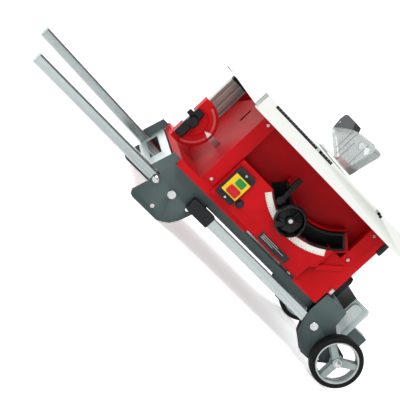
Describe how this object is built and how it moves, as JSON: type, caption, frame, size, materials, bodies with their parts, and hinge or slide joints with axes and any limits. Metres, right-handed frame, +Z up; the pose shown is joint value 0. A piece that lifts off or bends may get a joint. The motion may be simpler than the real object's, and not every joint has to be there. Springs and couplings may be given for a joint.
{
  "type": "table saw on folding trolley",
  "caption": "Bench table saw on a folded wheeled trolley: tilting blade unit with guard, pull-out handles that swing down as legs, stored gauge and fence, sliding extension.",
  "frame": {"origin": "centre of the bounding box at floor level", "axes": "+X from the handles towards the wheels, +Y from the operator's front to the back, +Z up from the floor the wheels and left feet stand on"},
  "size_m": [1.2676, 0.625, 0.577],
  "materials": {
    "red_paint": "moulded, satin",
    "stand_paint": "dark blue-grey paint",
    "satin_zinc": "satin light grey",
    "aluminium": "machined and extruded",
    "black_plastic": "fine texture",
    "motor_case": "black paint",
    "rubber": "matt",
    "bright_steel": "bright",
    "clear_plastic": "clear moulding",
    "white_plate": "printed plate",
    "green_plastic": "moulded",
    "stop_plastic": "moulded"
  },
  "bodies": {
    "stand": {"axle_rod": "bright_steel", "cross_beam": "stand_paint", "bevel_scale": "white_plate", "dust_port": "black_plastic", "housing": "red_paint", "left_cross_member": "satin_zinc", "parking_bracket": "satin_zinc", "side_cover": "black_plastic", "switch_block": "black_plastic", "table_top": "aluminium", "frame_tube_front": "stand_paint", "frame_tube_rear": "stand_paint", "left_bracket_front": "stand_paint", "left_bracket_rear": "stand_paint", "left_pivot_bolt_front": "bright_steel", "left_pivot_bolt_rear": "bright_steel", "parking_foot_front": "stand_paint", "parking_foot_rear": "stand_paint", "rail_front": "aluminium", "rail_rear": "aluminium", "right_bracket_front": "stand_paint", "right_bracket_rear": "stand_paint", "right_pivot_bolt_front": "bright_steel", "right_pivot_bolt_rear": "bright_steel"},
    "wheel_front": {"tyre_front": "rubber", "wheel_rim_front": "satin_zinc"},
    "handle_front": {"handle_tube_front": "stand_paint", "handle_cap_front": "satin_zinc"},
    "leg_front": {"leg_tube_front": "stand_paint", "leg_foot_front": "rubber"},
    "lock_pin_front": {"lock_pin_front": "bright_steel"},
    "wheel_rear": {"tyre_rear": "rubber", "wheel_rim_rear": "satin_zinc"},
    "handle_rear": {"handle_tube_rear": "stand_paint", "handle_cap_rear": "satin_zinc"},
    "leg_rear": {"leg_tube_rear": "stand_paint", "leg_foot_rear": "rubber"},
    "lock_pin_rear": {"lock_pin_rear": "bright_steel"},
    "tilt": {"tilt_carriage": "satin_zinc"},
    "lift": {"lift_carriage": "satin_zinc", "motor": "motor_case", "riving_knife": "bright_steel"},
    "blade": {"saw_blade": "bright_steel", "arbor": "bright_steel"},
    "guard": {"guard_hinge_pin": "bright_steel", "guard_shell": "clear_plastic", "guard_port": "black_plastic"},
    "handwheel": {"handwheel": "black_plastic"},
    "crank": {"crank_grip": "black_plastic"},
    "bevel_lock": {"bevel_lock_lever": "black_plastic"},
    "start": {"start_button": "green_plastic"},
    "stop": {"stop_button": "stop_plastic"},
    "reset": {"reset_button": "black_plastic"},
    "mitre": {"mitre_bar": "bright_steel"},
    "mitre_turn": {"mitre_head": "red_paint"},
    "mitre_grip": {"mitre_knob": "black_plastic"},
    "fence": {"fence_extrusion": "aluminium", "fence_cap": "black_plastic"},
    "extension": {"extension_table": "aluminium"},
    "clamp": {"clamp_lever": "black_plastic"}
  },
  "joints": [
    {"name": "wheel_front_spin", "type": "hinge", "parent": "stand", "child": "wheel_front", "pos_m": [0.556, -0.2555, 0.078], "axis": [0, 1, 0], "continuous": true},
    {"name": "handle_front_swing", "type": "hinge", "parent": "stand", "child": "handle_front", "pos_m": [-0.114, -0.1953, 0.08], "axis": [0, -1, 0], "range_deg": [0, 180]},
    {"name": "leg_front_swing", "type": "hinge", "parent": "stand", "child": "leg_front", "pos_m": [0.441, -0.2195, 0.1015], "axis": [0, -1, 0], "range_deg": [0, 103]},
    {"name": "lock_pin_front_pull", "type": "slide", "parent": "stand", "child": "lock_pin_front", "axis": [0, -1, 0], "range_m": [0, 0.008]},
    {"name": "wheel_rear_spin", "type": "hinge", "parent": "stand", "child": "wheel_rear", "pos_m": [0.556, 0.2555, 0.078], "axis": [0, 1, 0], "continuous": true},
    {"name": "handle_rear_swing", "type": "hinge", "parent": "stand", "child": "handle_rear", "pos_m": [-0.114, 0.1953, 0.08], "axis": [0, -1, 0], "range_deg": [0, 180]},
    {"name": "leg_rear_swing", "type": "hinge", "parent": "stand", "child": "leg_rear", "pos_m": [0.441, 0.2195, 0.1015], "axis": [0, -1, 0], "range_deg": [0, 103]},
    {"name": "lock_pin_rear_pull", "type": "slide", "parent": "stand", "child": "lock_pin_rear", "axis": [0, 1, 0], "range_m": [0, 0.008]},
    {"name": "bevel_tilt", "type": "hinge", "parent": "stand", "child": "tilt", "pos_m": [0.18, -0.067, 0.44], "axis": [0, -1, 0], "range_deg": [0, 45]},
    {"name": "blade_lift", "type": "slide", "parent": "tilt", "child": "lift", "axis": [0, 0, 1], "range_m": [0, 0.07]},
    {"name": "blade_spin", "type": "hinge", "parent": "lift", "child": "blade", "pos_m": [0.1675, -0.067, 0.328], "axis": [1, 0, 0], "continuous": true},
    {"name": "guard_float", "type": "hinge", "parent": "lift", "child": "guard", "pos_m": [0.1675, 0.0875, 0.545], "axis": [-1, 0, 0], "range_deg": [0, 10]},
    {"name": "handwheel_turn", "type": "hinge", "parent": "tilt", "child": "handwheel", "pos_m": [0.1495, -0.2815, 0.2651], "axis": [0, -1, 0], "range_deg": [0, 4320]},
    {"name": "crank_grip_spin", "type": "hinge", "parent": "handwheel", "child": "crank", "pos_m": [0.124, -0.2815, 0.2396], "axis": [0, -1, 0], "continuous": true},
    {"name": "bevel_lock_turn", "type": "hinge", "parent": "tilt", "child": "bevel_lock", "pos_m": [0.094, -0.245, 0.2835], "axis": [0, -1, 0], "range_deg": [-30, 30]},
    {"name": "start_press", "type": "slide", "parent": "stand", "child": "start", "axis": [0, 1, 0], "range_m": [0, 0.002], "stiffness_N_per_m": 300, "springref_m": -0.002},
    {"name": "stop_press", "type": "slide", "parent": "stand", "child": "stop", "axis": [0, 1, 0], "range_m": [0, 0.003], "stiffness_N_per_m": 300, "springref_m": -0.002},
    {"name": "reset_press", "type": "slide", "parent": "stand", "child": "reset", "axis": [0, 1, 0], "range_m": [0, 0.003], "stiffness_N_per_m": 300, "springref_m": -0.002},
    {"name": "mitre_gauge_pull", "type": "slide", "parent": "stand", "child": "mitre", "axis": [-1, 0, 0], "range_m": [0, 0.12]},
    {"name": "mitre_head_turn", "type": "hinge", "parent": "mitre", "child": "mitre_turn", "pos_m": [-0.201, -0.1, 0.2525], "axis": [0, -1, 0], "range_deg": [-60, 60]},
    {"name": "mitre_knob_spin", "type": "hinge", "parent": "mitre_turn", "child": "mitre_grip", "pos_m": [-0.201, -0.1, 0.2525], "axis": [0, -1, 0], "continuous": true},
    {"name": "fence_pull", "type": "slide", "parent": "stand", "child": "fence", "axis": [-1, 0, 0], "range_m": [0, 0.1]},
    {"name": "extension_pull", "type": "slide", "parent": "stand", "child": "extension", "axis": [1, 0, 0], "range_m": [0, 0.2]},
    {"name": "clamp_turn", "type": "hinge", "parent": "stand", "child": "clamp", "pos_m": [0.3795, -0.3, 0.4095], "axis": [0, 0, 1], "range_deg": [-90, 90]}
  ],
  "couplings": [
    {"joint": "handwheel_turn", "follows": "blade_lift", "rad_per_m": 1077},
    {"joint": "guard_float", "follows": "bevel_tilt", "ratio": 0.22}
  ]
}
